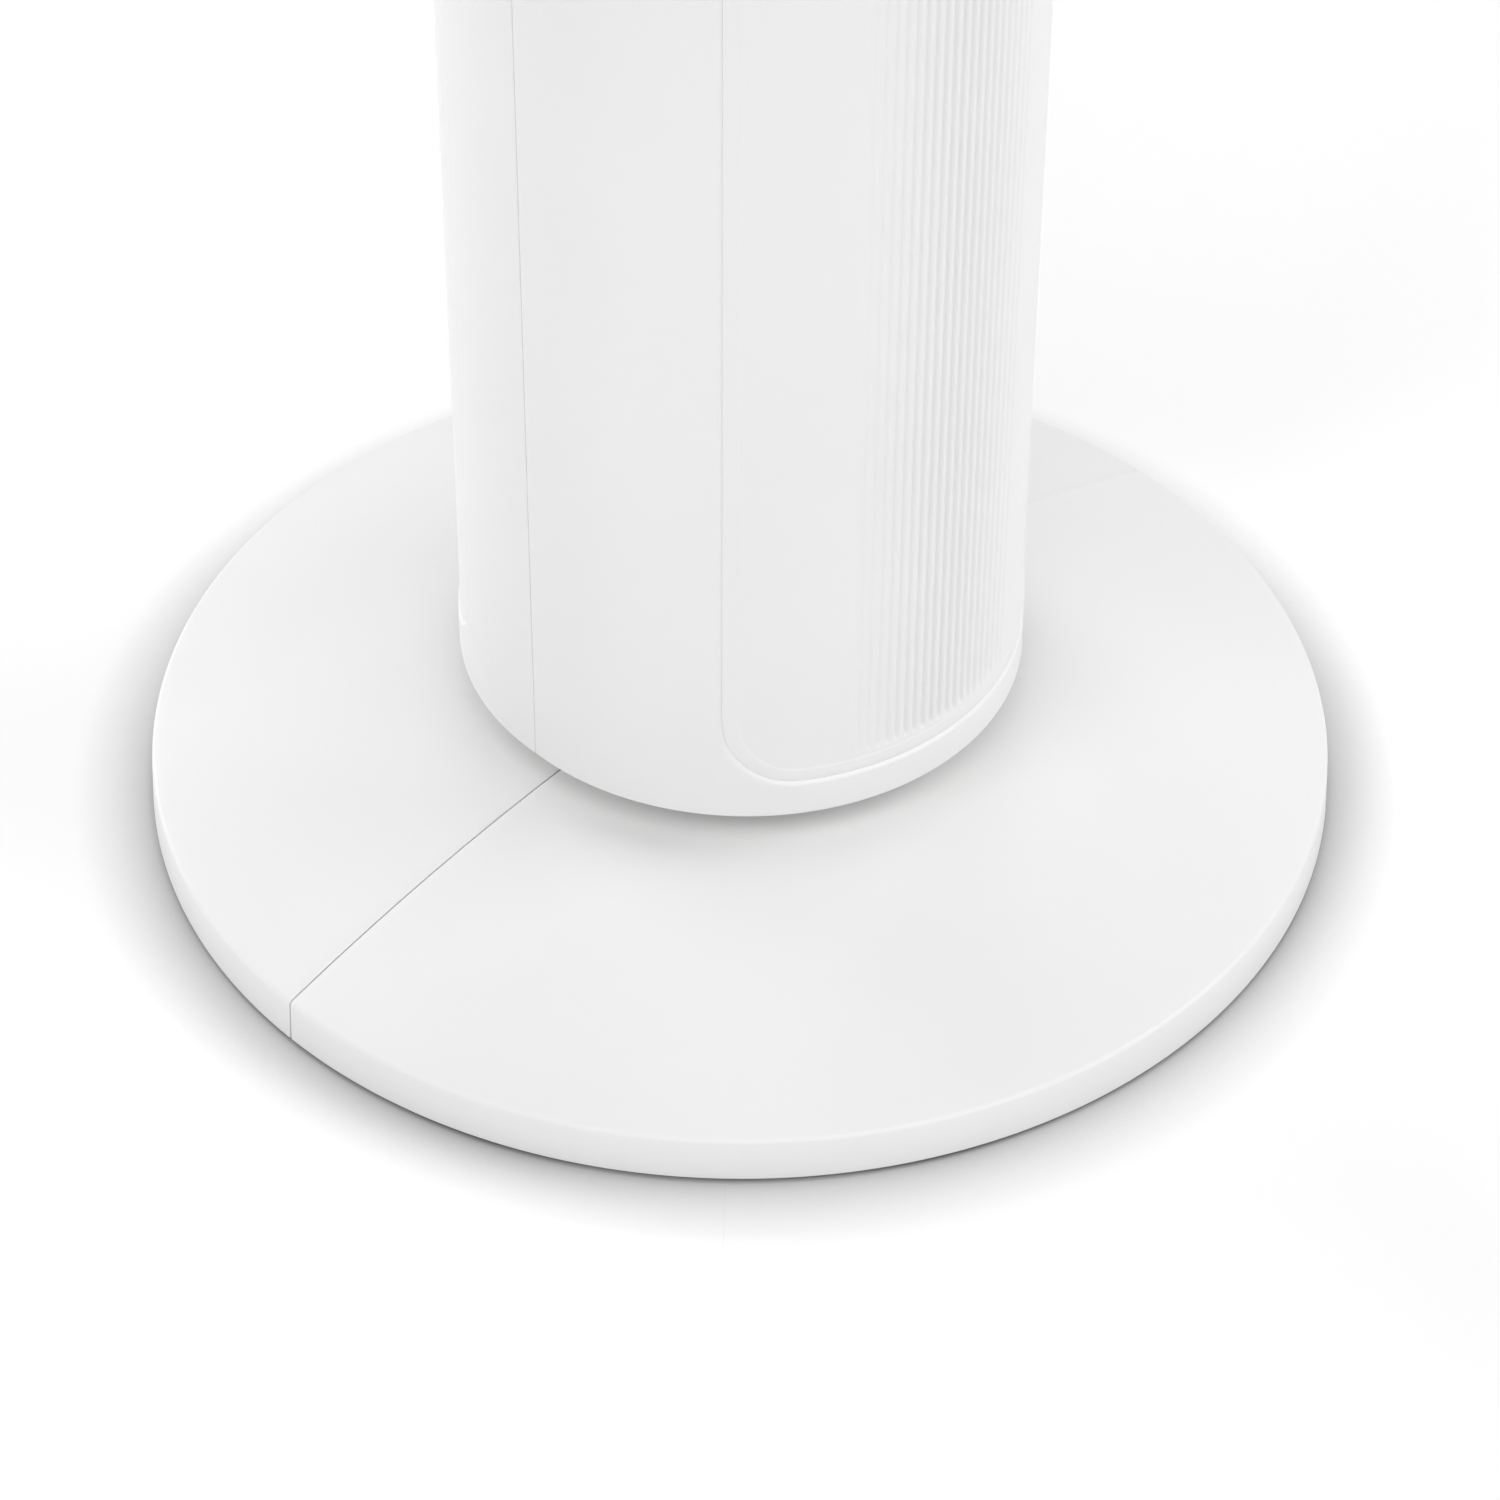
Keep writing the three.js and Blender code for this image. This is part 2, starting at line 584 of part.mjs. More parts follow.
// ---------------------------------------------------------------- impeller
let wheel = turned([[5, WHEEL_Z0], [WHEEL_R, WHEEL_Z0], [WHEEL_R, WHEEL_Z0 + 2.5], [5, WHEEL_Z0 + 2.5]], 24, ...WHEEL)
  .add(turned([[3, WHEEL_Z1 - 2.5], [WHEEL_R, WHEEL_Z1 - 2.5], [WHEEL_R, WHEEL_Z1], [3, WHEEL_Z1]], 24, ...WHEEL));
for (const z of [632]) wheel = wheel.add(tube(26, WHEEL_R, z, z + 2, ...WHEEL, 24));
for (let b = 0; b < BLADES; b++) {
  const a = (2 * Math.PI * b) / BLADES;
  const line = [[26.6, -0.12], [31, 0.08]].map(([r, da]) => [
    WHEEL[0] + r * Math.cos(a + da),
    WHEEL[1] + r * Math.sin(a + da),
  ]);
  wheel = wheel.add(sheet(line, 0.9, WHEEL_Z0 + 1.2, WHEEL_Z1 - 1.2));
}
add("impeller", "crossflow_wheel", wheel, softWhite);
add(
  "impeller", "wheel_spindle",
  turned([[0, WHEEL_Z1 + GAP], [9, WHEEL_Z1 + GAP], [9, WHEEL_Z1 + 2.3], [4, WHEEL_Z1 + 2.3], [4, 958], [0, 958]], 24, ...WHEEL),
  steel,
);
add("impeller", "shaft_coupling", tube(4.3, 11, 320, WHEEL_Z0 - GAP, ...WHEEL, 24), darkRubber);
add("impeller", "rotor_shaft", rod(4, 284, 330, ...WHEEL, 20), steel);

// ---------------------------------------------------------------- swing pinion
const pinionOutline = gearOutline(PINION_TEETH, GEAR_MODULE, 0.3, Math.PI / PINION_TEETH, 3).map(
  ([x, y]) => [x, y + GEAR_CENTRES],
);
add(
  "pinion", "swing_pinion",
  plate(pinionOutline, GEAR_Z0, GEAR_Z1).add(rod(2.1, GEAR_Z0, 72, 0, GEAR_CENTRES, 12)),
  acetal,
);

export default fan;
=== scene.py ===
import bpy
import bmesh
import json
import math
from mathutils import Matrix, Vector


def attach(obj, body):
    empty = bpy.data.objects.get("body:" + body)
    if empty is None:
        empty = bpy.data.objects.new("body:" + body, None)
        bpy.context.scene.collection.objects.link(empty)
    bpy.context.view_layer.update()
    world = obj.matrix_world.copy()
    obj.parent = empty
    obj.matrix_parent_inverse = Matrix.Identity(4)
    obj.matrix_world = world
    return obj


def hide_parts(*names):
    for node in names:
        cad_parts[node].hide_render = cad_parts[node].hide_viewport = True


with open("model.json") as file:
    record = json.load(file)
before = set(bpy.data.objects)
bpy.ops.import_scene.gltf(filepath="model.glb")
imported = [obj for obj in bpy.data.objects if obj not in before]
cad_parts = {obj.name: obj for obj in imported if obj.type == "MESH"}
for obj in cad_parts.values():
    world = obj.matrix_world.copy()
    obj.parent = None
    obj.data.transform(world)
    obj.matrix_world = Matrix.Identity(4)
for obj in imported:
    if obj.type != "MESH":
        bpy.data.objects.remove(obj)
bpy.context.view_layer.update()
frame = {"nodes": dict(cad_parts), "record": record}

# ------------------------------------------------------------------ dimensions, mm
BASE_R = 155.0
SHELL_Z = 1.5
RIM_TOP = 13.7
DOME = 26.1
COL_R = 71.5
COL_OFF = 2.0
COL_Z0 = 45.5
COL_Z1 = 1045.0
WIN_Z0, WIN_Z1 = 56.0, 965.0
COVER_Z0 = 980.0
FRONT_HALF, REAR_HALF = 48.6, 66.0
SLOT_Z = [(335.0, 627.0), (639.0, 929.0)]
FLUTES, FLUTE_PITCH = 20, 2.19
INLETS, INLET_PITCH = 18, 6.3
QUARTER = COL_R * math.pi / 2


# ------------------------------------------------------------------ materials
def nodes_of(mat):
    mat.use_nodes = True
    nt = mat.node_tree
    return nt, nt.nodes["Principled BSDF"]


def plastic(name, color, rough, grain=0.00035, grain_h=0.000006, flow=0.012, coat=0.0):
    """Moulded plastic: a fine spark-eroded grain, a faint long-wave tone and gloss drift."""
    mat = bpy.data.materials.new(name)
    nt, p = nodes_of(mat)
    tc = nt.nodes.new("ShaderNodeTexCoord")
    n1 = nt.nodes.new("ShaderNodeTexNoise")
    n1.inputs["Scale"].default_value = 1.0 / grain
    n1.inputs["Detail"].default_value = 3.0
    n1.inputs["Roughness"].default_value = 0.6
    n2 = nt.nodes.new("ShaderNodeTexNoise")
    n2.inputs["Scale"].default_value = 9.0
    n2.inputs["Detail"].default_value = 2.0
    n3 = nt.nodes.new("ShaderNodeTexNoise")
    n3.inputs["Scale"].default_value = 60.0
    n3.inputs["Detail"].default_value = 4.0
    for n in (n1, n2, n3):
        nt.links.new(tc.outputs["Object"], n.inputs["Vector"])
    # tone drift
    mr = nt.nodes.new("ShaderNodeMapRange")
    mr.inputs["From Min"].default_value, mr.inputs["From Max"].default_value = 0.3, 0.7
    mr.inputs["To Min"].default_value, mr.inputs["To Max"].default_value = 0.0, 1.0
    nt.links.new(n2.outputs["Fac"], mr.inputs["Value"])
    mix = nt.nodes.new("ShaderNodeMix")
    mix.data_type = "RGBA"
    c = Vector(color)
    mix.inputs["A"].default_value = (*(c * (1 - flow)), 1)
    mix.inputs["B"].default_value = (*[min(1.0, x * (1 + flow)) for x in c], 1)
    nt.links.new(mr.outputs["Result"], mix.inputs["Factor"])
    nt.links.new(mix.outputs["Result"], p.inputs["Base Color"])
    # gloss drift
    rr = nt.nodes.new("ShaderNodeMapRange")
    rr.inputs["From Min"].default_value, rr.inputs["From Max"].default_value = 0.3, 0.7
    rr.inputs["To Min"].default_value, rr.inputs["To Max"].default_value = rough - 0.04, rough + 0.05
    nt.links.new(n3.outputs["Fac"], rr.inputs["Value"])
    nt.links.new(rr.outputs["Result"], p.inputs["Roughness"])
    b = nt.nodes.new("ShaderNodeBump")
    b.inputs["Strength"].default_value = 0.35
    b.inputs["Distance"].default_value = grain_h
    nt.links.new(n1.outputs["Fac"], b.inputs["Height"])
    nt.links.new(b.outputs["Normal"], p.inputs["Normal"])
    p.inputs["IOR"].default_value = 1.5
    p.inputs["Coat Weight"].default_value = coat
    return mat


def metal(name, color, rough):
    mat = bpy.data.materials.new(name)
    nt, p = nodes_of(mat)
    p.inputs["Metallic"].default_value = 1.0
    tc = nt.nodes.new("ShaderNodeTexCoord")
    mp = nt.nodes.new("ShaderNodeMapping")
    mp.inputs["Scale"].default_value = (900, 900, 40)
    n = nt.nodes.new("ShaderNodeTexNoise")
    n.inputs["Scale"].default_value = 1.0
    n.inputs["Detail"].default_value = 3.0
    nt.links.new(tc.outputs["Object"], mp.inputs["Vector"])
    nt.links.new(mp.outputs["Vector"], n.inputs["Vector"])
    rr = nt.nodes.new("ShaderNodeMapRange")
    rr.inputs["To Min"].default_value, rr.inputs["To Max"].default_value = rough - 0.08, rough + 0.12
    nt.links.new(n.outputs["Fac"], rr.inputs["Value"])
    nt.links.new(rr.outputs["Result"], p.inputs["Roughness"])
    mix = nt.nodes.new("ShaderNodeMix")
    mix.data_type = "RGBA"
    mix.inputs["A"].default_value = (*[x * 0.9 for x in color], 1)
    mix.inputs["B"].default_value = (*color, 1)
    nt.links.new(n.outputs["Fac"], mix.inputs["Factor"])
    nt.links.new(mix.outputs["Result"], p.inputs["Base Color"])
    return mat


WHITE = (0.768, 0.768, 0.766)
M = {
    "white_shell": plastic("shell_white", WHITE, 0.46),
    "white_panel": plastic("panel_white", (0.765, 0.765, 0.763), 0.48),
    "inner_plastic": plastic("inner_white", (0.62, 0.62, 0.615), 0.55),
    "rubber": plastic("pad_rubber", (0.03, 0.03, 0.031), 0.8, grain=0.0006, grain_h=0.00002, flow=0.15),
    "steel": metal("plate_steel", (0.56, 0.57, 0.58), 0.32),
    "acetal": plastic("gear_acetal", (0.70, 0.69, 0.64), 0.35),
    "board": plastic("board_green", (0.02, 0.11, 0.05), 0.4, grain=0.0012, grain_h=0.00003, flow=0.2),
    "lens": plastic("lens_smoke", (0.012, 0.013, 0.015), 0.09, grain_h=0.0000005, flow=0.02, coat=0.5),
    "button": plastic("key_white", (0.74, 0.74, 0.737), 0.42),
    "mark": plastic("mark_grey", (0.16, 0.165, 0.17), 0.5),
}
slot_of = {s["node"]: s["material_slot"] for s in frame["record"]["subparts"]}
for name, ob in frame["nodes"].items():
    ob.data.materials.clear()
    ob.data.materials.append(M[slot_of[name]])


# ------------------------------------------------------------------ mesh helpers (mm in, metres out)
def piece(name, verts, faces, body, slot, replaces=(), smooth=35.0, mat=None):
    me = bpy.data.meshes.new(name)
    me.from_pydata([(x / 1000, y / 1000, z / 1000) for x, y, z in verts], [], faces)
    bm = bmesh.new()
    bm.from_mesh(me)
    bmesh.ops.remove_doubles(bm, verts=bm.verts, dist=2e-6)
    bmesh.ops.dissolve_degenerate(bm, edges=bm.edges, dist=1e-7)
    bmesh.ops.recalc_face_normals(bm, faces=bm.faces)
    bm.to_mesh(me)
    bm.free()
    for p in me.polygons:
        p.use_smooth = True
    me.set_sharp_from_angle(angle=math.radians(smooth))
    ob = bpy.data.objects.new(name, me)
    bpy.context.scene.collection.objects.link(ob)
    me.materials.append(mat or M[slot])
    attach(ob, body)
    if replaces:
        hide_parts(*replaces)
    return ob


class Build:
    """Collects quads and polygons for one piece."""

    def __init__(self):
        self.v, self.f = [], []

    def grid(self, rows, close_u=False, close_v=False, mask=None):
        """rows[i][j] -> point; joins neighbours into quads."""
        n, m = len(rows), len(rows[0])
        base = len(self.v)
        for r in rows:
            self.v.extend(r)
        for i in range(n if close_u else n - 1):
            for j in range(m if close_v else m - 1):
                if mask and not mask(i, j):
                    continue
                a = base + i * m + j
                b = base + i * m + (j + 1) % m
                c = base + ((i + 1) % n) * m + (j + 1) % m
                d = base + ((i + 1) % n) * m + j
                self.f.append((a, b, c, d))

    def poly(self, pts):
        base = len(self.v)
        self.v.extend(pts)
        self.f.append(tuple(range(base, base + len(pts))))

    def make(self, name, body, slot, **k):
        return piece(name, self.v, self.f, body, slot, **k)


def rounded(path, n=6):
    """A closed 2-D path of (x, y, radius) with its corners turned into arcs."""
    out = []
    m = len(path)
    for i in range(m):
        x, y, r = path[i]
        p = Vector((x, y))
        a = Vector(path[i - 1][:2]) - p
        b = Vector(path[(i + 1) % m][:2]) - p
        if r <= 0 or a.length < 1e-9 or b.length < 1e-9:
            out.append((x, y))
            continue
        a1, b1 = a.normalized(), b.normalized()
        half = math.acos(max(-1, min(1, a1.dot(b1)))) / 2
        if half > math.radians(88.5):
            out.append((x, y))
            continue
        t = r / math.tan(half)
        t = min(t, a.length * 0.49, b.length * 0.49)
        rr = t * math.tan(half)
        c = p + (a1 + b1).normalized() * (rr / math.sin(half))
        s, e = p + a1 * t, p + b1 * t
        a0 = math.atan2(s.y - c.y, s.x - c.x)
        a2 = math.atan2(e.y - c.y, e.x - c.x)
        d = a2 - a0
        while d > math.pi:
            d -= 2 * math.pi
        while d < -math.pi:
            d += 2 * math.pi
        for k in range(n + 1):
            q = a0 + d * k / n
            out.append((c.x + rr * math.cos(q), c.y + rr * math.sin(q)))
    return out


def lathe(profile, name, body, slot, cx=0.0, cy=0.0, seg=96, **k):
    """A closed profile of (r, z) turned about the vertical line at cx, cy; points on the axis are kept."""
    b = Build()
    rows = []
    for i in range(seg):
        a = 2 * math.pi * i / seg
        rows.append([(cx + r * math.cos(a), cy + r * math.sin(a), z) for r, z in profile])
    b.grid(rows, close_u=True, close_v=True)
    return b.make(name, body, slot, **k)


def smoothstep(a, b, x):
    t = max(0.0, min(1.0, (x - a) / (b - a)))
    return t * t * (3 - 2 * t)


# ------------------------------------------------------------------ foot
def dome_z(r):
    return RIM_TOP + DOME * (1 - (r / BASE_R) ** 2)


foot_profile = rounded(
    [
        (154.9, SHELL_Z, 0.5),
        (154.3, dome_z(154.3), 1.5),
        *[(r, dome_z(r), 0) for r in (151, 147, 141, 134, 126, 117, 107, 96, 84, 72, 61)],
        (50.0, 37.0, 4.0),
        (36.2, 37.0, 0.8),
        (36.2, 34.0, 0.3),
        (51.5, 34.0, 3.0),
        *[(r, dome_z(r) - 3.0, 0) for r in (66, 84, 102, 119, 134, 146)],
        (152.0, dome_z(152) - 3.0, 0.8),
        (152.0, SHELL_Z, 0.3),
    ],
    8,
)


def foot_half(name, sign, node):
    b = Build()
    rows = []

    def seam_steps(gap, soft):
        return [(gap + soft * (1 - math.cos(math.radians(q))), soft * (1 - math.sin(math.radians(q)))) for q in (0, 22.5, 45, 67.5, 90)]

    # the joint is open by a hair at one end and nearly closed at the other
    near, far = seam_steps(0.22, 0.3), seam_steps(0.03, 0.1)
    # offset the section inwards by a little for the seam's softened edge
    n = len(foot_profile)
    normals = []
    for i in range(n):
        p, q = Vector(foot_profile[i - 1]), Vector(foot_profile[(i + 1) % n])
        t = (q - p).normalized()
        normals.append(Vector((-t.y, t.x)))
    area = sum(foot_profile[i][0] * foot_profile[(i + 1) % n][1] - foot_profile[(i + 1) % n][0] * foot_profile[i][1] for i in range(n))
    inward = 1 if area > 0 else -1

    def section(off):
        return [(r + inward * w.x * off, z + inward * w.y * off) for (r, z), w in zip(foot_profile, normals)]

    def plane_row(y, off, side):
        return [(side * math.sqrt(max(r * r - y * y, 0)), sign * y, z) for r, z in section(off)]

    for y, off in far:
        rows.append(plane_row(y, off, 1))
    full = section(0)
    N = 132
    for i in range(1, N):
        a = math.pi * i / N
        rows.append(
            [
                (lambda r, z: (r * math.cos(a0), sign * r * math.sin(a0), z))(r, z)
                for (r, z) in full
                for s0, s1 in [(math.asin(far[-1][0] / r), math.asin(near[-1][0] / r))]
                for a0 in [s0 + (math.pi - s0 - s1) * i / N]
            ]
        )
    for y, off in reversed(near):
        rows.append(plane_row(y, off, -1))
    b.grid(rows, close_v=True)
    b.poly(rows[0])
    b.poly(list(reversed(rows[-1])))
    # bosses for the pads and for the tie plate
    for ang, rad_, br, z0 in [(22, 138, 10.3, 3.6), (66, 138, 10.3, 3.6), (114, 138, 10.3, 3.6), (158, 138, 10.3, 3.6), (40, 92, 4.9, 6.8), (140, 92, 4.9, 6.8)]:
        x, y = rad_ * math.cos(math.radians(ang)), sign * rad_ * math.sin(math.radians(ang))
        ring = []
        hole = 2.3 if br < 6 else 0
        for i in range(32):
            q = 2 * math.pi * i / 32
            px, py = x + br * math.cos(q), y + br * math.sin(q)
            hz = dome_z(math.hypot(px, py)) - 1.2
            hx, hy = x + hole * math.cos(q), y + hole * math.sin(q)
            hzi = dome_z(math.hypot(hx, hy)) - 1.2 if hole else dome_z(math.hypot(x, y)) - 1.2
            if hole:
                ring.append([(px, py, z0 + 0.4), (px, py, hz), (hx, hy, hzi), (hx, hy, z0), (x + (br - 0.4) * math.cos(q), y + (br - 0.4) * math.sin(q), z0)])
            else:
                ring.append([(x, y, z0), (x + (br - 0.5) * math.cos(q), y + (br - 0.5) * math.sin(q), z0), (px, py, z0 + 0.5), (px, py, hz), (x, y, hzi)])
        b.grid(ring, close_u=True, close_v=bool(hole))
    ob = b.make(name, "base", "white_shell", replaces=[node], smooth=40)
    return ob


front_foot = foot_half("foot_shell_front", -1, "base_front_half")
rear_foot = foot_half("foot_shell_rear", 1, "base_rear_half")


def cut(ob, cutters):
    """Exact boolean cuts, applied to the mesh."""
    for c in cutters:
        m = ob.modifiers.new("cut", "BOOLEAN")
        m.operation, m.solver, m.object = "DIFFERENCE", "EXACT", c
    dg = bpy.context.evaluated_depsgraph_get()
    me = bpy.data.meshes.new_from_object(ob.evaluated_get(dg))
    ob.modifiers.clear()
    old = ob.data
    name = old.name
    ob.data = me
    bpy.data.meshes.remove(old)
    me.name = name
    for c in cutters:
        bpy.data.objects.remove(c)


def cutter_rod(r, p0, p1, seg=40):
    """A plain closed rod used only as a cutting tool."""
    bm = bmesh.new()
    p0, p1 = Vector(p0) / 1000, Vector(p1) / 1000
    d = p1 - p0
    bmesh.ops.create_cone(bm, cap_ends=True, segments=seg, radius1=r / 1000, radius2=r / 1000, depth=d.length)
    me = bpy.data.meshes.new("tool")
    rot = d.to_track_quat("Z", "Y").to_matrix().to_4x4()
    bm.transform(Matrix.Translation((p0 + p1) / 2) @ rot)
    bm.to_mesh(me)
    bm.free()
    ob = bpy.data.objects.new("tool", me)
    bpy.context.scene.collection.objects.link(ob)
    return ob


cut(rear_foot, [cutter_rod(4.9, (0, 148.8, 7.6), (0, 170, 7.6))])

# cord outlet bush, with a flange outside the rim
gl = rounded([(3.2, 147.2, 0.2), (4.6, 147.2, 0.2), (4.6, 154.2, 0.1), (3.9, 154.6, 0.4), (3.2, 154.4, 0.3)], 5)
b = Build()
b.grid([[(r * math.cos(2 * math.pi * i / 48), y, 7.6 + r * math.sin(2 * math.pi * i / 48)) for r, y in gl] for i in range(48)], close_u=True, close_v=True)
b.make("cord_bush", "base", "rubber", replaces=["cord_gland"])


# ------------------------------------------------------------------ column skin
def on_col(u, z, h, sign):
    """Arc length u from the middle of the front (sign -1) or rear (+1), height z, depth h under the surface."""
    if abs(u) <= QUARTER:
        t = u / COL_R
        return ((COL_R - h) * math.sin(t), sign * (COL_OFF + (COL_R - h) * math.cos(t)), z)
    s = 1 if u > 0 else -1
    return (s * (COL_R - h), sign * (COL_OFF - (abs(u) - QUARTER)), z)


ARC = 12  # steps in a window's corner


def corner_us(w, rc):
    return [w - rc + rc * math.sin(math.pi / 2 * k / ARC) for k in range(ARC + 1)]


def lo_of(u, w, z0, rc):
    d = abs(u) - (w - rc)
    if d <= 0:
        return z0
    d = min(d, rc)
    return z0 + rc - math.sqrt(max(0.0, rc * rc - d * d))


def key(x):
    return round(x, 6)


def contour(w, z0, z1, rc, us, zs):
    """Closed loop round a rounded window: (u, z, nu, nz), the normal pointing away from the window."""
    pts = []
    inner = w - rc
    mids = [u for u in us if -inner + 1e-6 < u < inner - 1e-6]
    zmid = [z for z in zs if z0 + rc + 1e-6 < z < z1 - rc - 1e-6]
    for u in mids:
        pts.append((u, z0, 0, -1))
    for k in range(ARC + 1):
        a = math.pi / 2 * k / ARC
        pts.append((inner + rc * math.sin(a), z0 + rc - rc * math.cos(a), math.sin(a), -math.cos(a)))
    for z in zmid:
        pts.append((w, z, 1, 0))
    for k in range(ARC + 1):
        a = math.pi / 2 * k / ARC
        pts.append((inner + rc * math.cos(a), z1 - rc + rc * math.sin(a), math.cos(a), math.sin(a)))
    for u in reversed(mids):
        pts.append((u, z1, 0, 1))
    for k in range(ARC + 1):
        a = math.pi / 2 * k / ARC
        pts.append((-inner - rc * math.sin(a), z1 - rc + rc * math.cos(a), -math.sin(a), math.cos(a)))
    for z in reversed(zmid):
        pts.append((-w, z, -1, 0))
    for k in range(ARC + 1):
        a = math.pi / 2 * k / ARC
        pts.append((-inner - rc * math.cos(a), z0 + rc - rc * math.sin(a), -math.cos(a), -math.sin(a)))
    return pts


def fill(lo, hi, step):
    n = max(1, int(math.ceil((hi - lo) / step)))
    return [lo + (hi - lo) * i / n for i in range(n + 1)]


def uniq(values, tol=1e-4):
    out = []
    for x in sorted(values):
        if not out or x - out[-1] > tol:
            out.append(x)
    return out


def shell(name, sign, windows, node, body="column", z_lo=COL_Z0, z_hi=COL_Z1, soft_lo=0.7, soft_hi=0.3, slope=0.62):
    """A half shell of the column. windows: (w, z0, z1, rc, edge radius), with w as arc length."""
    WALL = 2.5
    SKIRT = 3.0
    END = QUARTER + COL_OFF - 0.07
    us = set()
    outer = [(w + SKIRT, z0 - SKIRT, z1 + SKIRT, rc + SKIRT) for w, z0, z1, rc, _ in windows]
    for w, z0, z1, rc in outer:
        for u in corner_us(w, rc):
            us.update((key(u), key(-u)))
    special = sorted(us)
    for u in fill(-END + 0.4, END - 0.4, 1.9):
        if all(abs(u - s) > 0.55 for s in special):
            us.add(key(u))
    us.update((key(-END + 0.4), key(END - 0.4)))
    us = uniq(us)
    f = 0.22
    ends = [(math.radians(q)) for q in (22.5, 45, 67.5, 90)]
    cols = [(-(END - f + f * math.sin(a)), f - f * math.cos(a)) for a in reversed(ends)]
    cols += [(u, 0.0) for u in us]
    cols += [(END - f + f * math.sin(a), f - f * math.cos(a)) for a in ends]
    fb, ft = soft_lo, soft_hi  # rounded lower and upper edges
    bottom = [(z_lo + fb - fb * math.sin(a), fb - fb * math.cos(a)) for a in [math.radians(q) for q in (90, 75, 60, 45, 30, 15, 0)]]
    top = [(z_hi - ft + ft * math.sin(a), ft - ft * math.cos(a)) for a in [math.radians(q) for q in (0, 30, 60, 90)]]
    wins = sorted(outer, key=lambda x: x[1])

    def rows_at(u, inner=False):
        out = [(z, 0 if inner else h) for z, h in bottom]
        for w, z0, z1, rc in wins:
            out.append((lo_of(u, w, z0, rc), 0))
            out.append((z0 + z1 - lo_of(u, w, z0, rc), 0))
        out += [(z, 0 if inner else h) for z, h in top]
        return out

    nb = len(bottom)

    def mask(i, j):
        ua, ub = cols[i][0], cols[i + 1][0]
        mid = (ua + ub) / 2
        for k, (w, z0, z1, rc) in enumerate(wins):
            if j == nb + 2 * k and abs(mid) < w:
                return False
        return True

    b = Build()
    out_rows = [[on_col(u, z, min(hu + hz, WALL), sign) for z, hz in rows_at(u)] for u, hu in cols]
    in_rows = [[on_col(u, z, WALL, sign) for z, hz in rows_at(u, True)] for u, hu in cols]
    b.grid(out_rows, mask=mask)
    b.grid(in_rows, mask=mask)
    b.grid([[p, q] for p, q in zip(out_rows[0], in_rows[0])])
    b.grid([[p, q] for p, q in zip(out_rows[-1], in_rows[-1])])
    b.grid([[r[0], q[0]] for r, q in zip(out_rows, in_rows)])
    b.grid([[r[-1], q[-1]] for r, q in zip(out_rows, in_rows)])
    for (w, z0, z1, rc, edge), (W, Z0, Z1, RC) in zip(sorted(windows, key=lambda x: x[1]), wins):
        loop = contour(W, Z0, Z1, RC, us, [])
        prof = [(SKIRT, 0.0), (edge + 0.6, 0.0)]
        if slope:
            prof += [(edge * (1 - t), slope * t ** 1.5) for t in (0.0, 0.12, 0.25, 0.4, 0.55, 0.7, 0.85, 1.0)]
        else:
            for q in range(0, 91, 15):
                a = math.radians(q)
                prof.append((edge - edge * math.sin(a), edge - edge * math.cos(a)))
        prof += [(0, WALL - 0.2), (0.2, WALL), (SKIRT, WALL)]
        b.grid([[on_col(u + nu * (d - SKIRT), z + nz * (d - SKIRT), h, sign) for d, h in prof] for u, z, nu, nz in loop], close_u=True)
    # lip behind the seam belongs to the front half
    if sign < 0:
        for s in (1, -1):
            pts = []
            for z in (COL_Z0 + 3.4, COL_Z1 - 0.5):
                pts.append([(s * (COL_R - 2.45), -0.6, z), (s * (COL_R - 0.95), -0.6, z), (s * (COL_R - 0.95), 0.6, z), (s * (COL_R - 2.45), 0.6, z)])
            b.grid(pts, close_v=True)
            b.poly(pts[0])
            b.poly(list(reversed(pts[1])))
    return b.make(name, body, "white_shell", replaces=[node], smooth=32)


front_w = COL_R * math.radians(FRONT_HALF)
rear_w = COL_R * math.radians(REAR_HALF)
shell("column_shell_front", -1, [(front_w, WIN_Z0, WIN_Z1, 20.0, 1.0)], "column_front_shell")
shell(
    "column_shell_rear", 1,
    [(rear_w, WIN_Z0, WIN_Z1, 20.0, 1.0)], "column_rear_shell", z_hi=COVER_Z0 - 0.02,
)
shell(
    "column_rear_cover", 1, [(39.6, 987.3, 1012.7, 6.0, 1.4)], "rear_cover", z_lo=COVER_Z0 + 0.15, soft_lo=0.3, slope=0,
)


